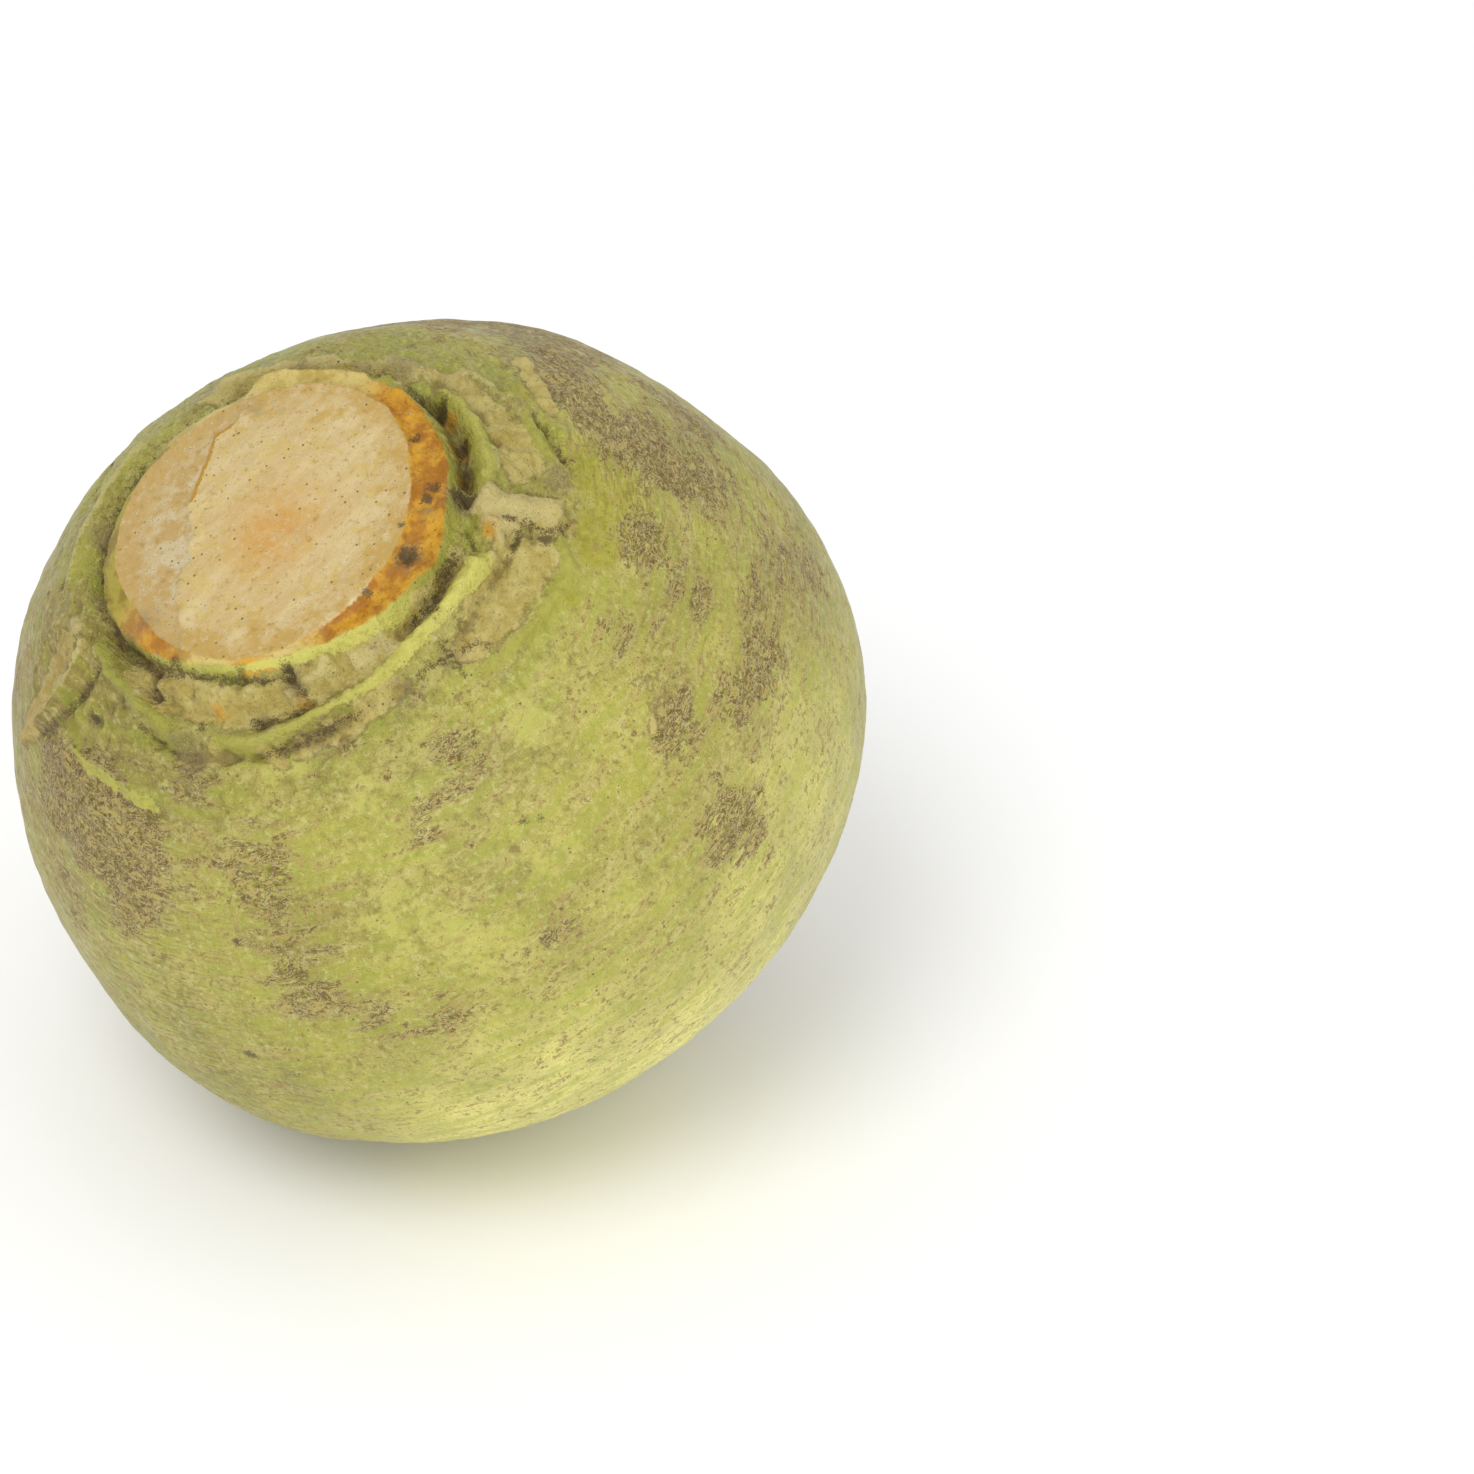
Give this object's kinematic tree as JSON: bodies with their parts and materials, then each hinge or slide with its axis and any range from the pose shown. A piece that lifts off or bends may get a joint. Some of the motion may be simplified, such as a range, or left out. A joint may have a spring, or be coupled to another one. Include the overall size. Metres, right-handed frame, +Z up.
{
  "type": "kohlrabi",
  "caption": "Whole kohlrabi: a flattened green globe with a cut neck and old leaf scars at its crown, leaning on a small flat spot.",
  "frame": {"origin": "on the resting surface, under the middle of the globe's box", "axes": "+Z up from the resting surface; the crown axis leans 30 degrees from +Z towards -X and -Y, and -Y is the side seen in use"},
  "size_m": [0.121, 0.1188, 0.1136],
  "materials": {
    "skin": "satin, corky where scarred"
  },
  "bodies": {
    "root": {"kohlrabi": "skin"}
  },
  "joints": []
}
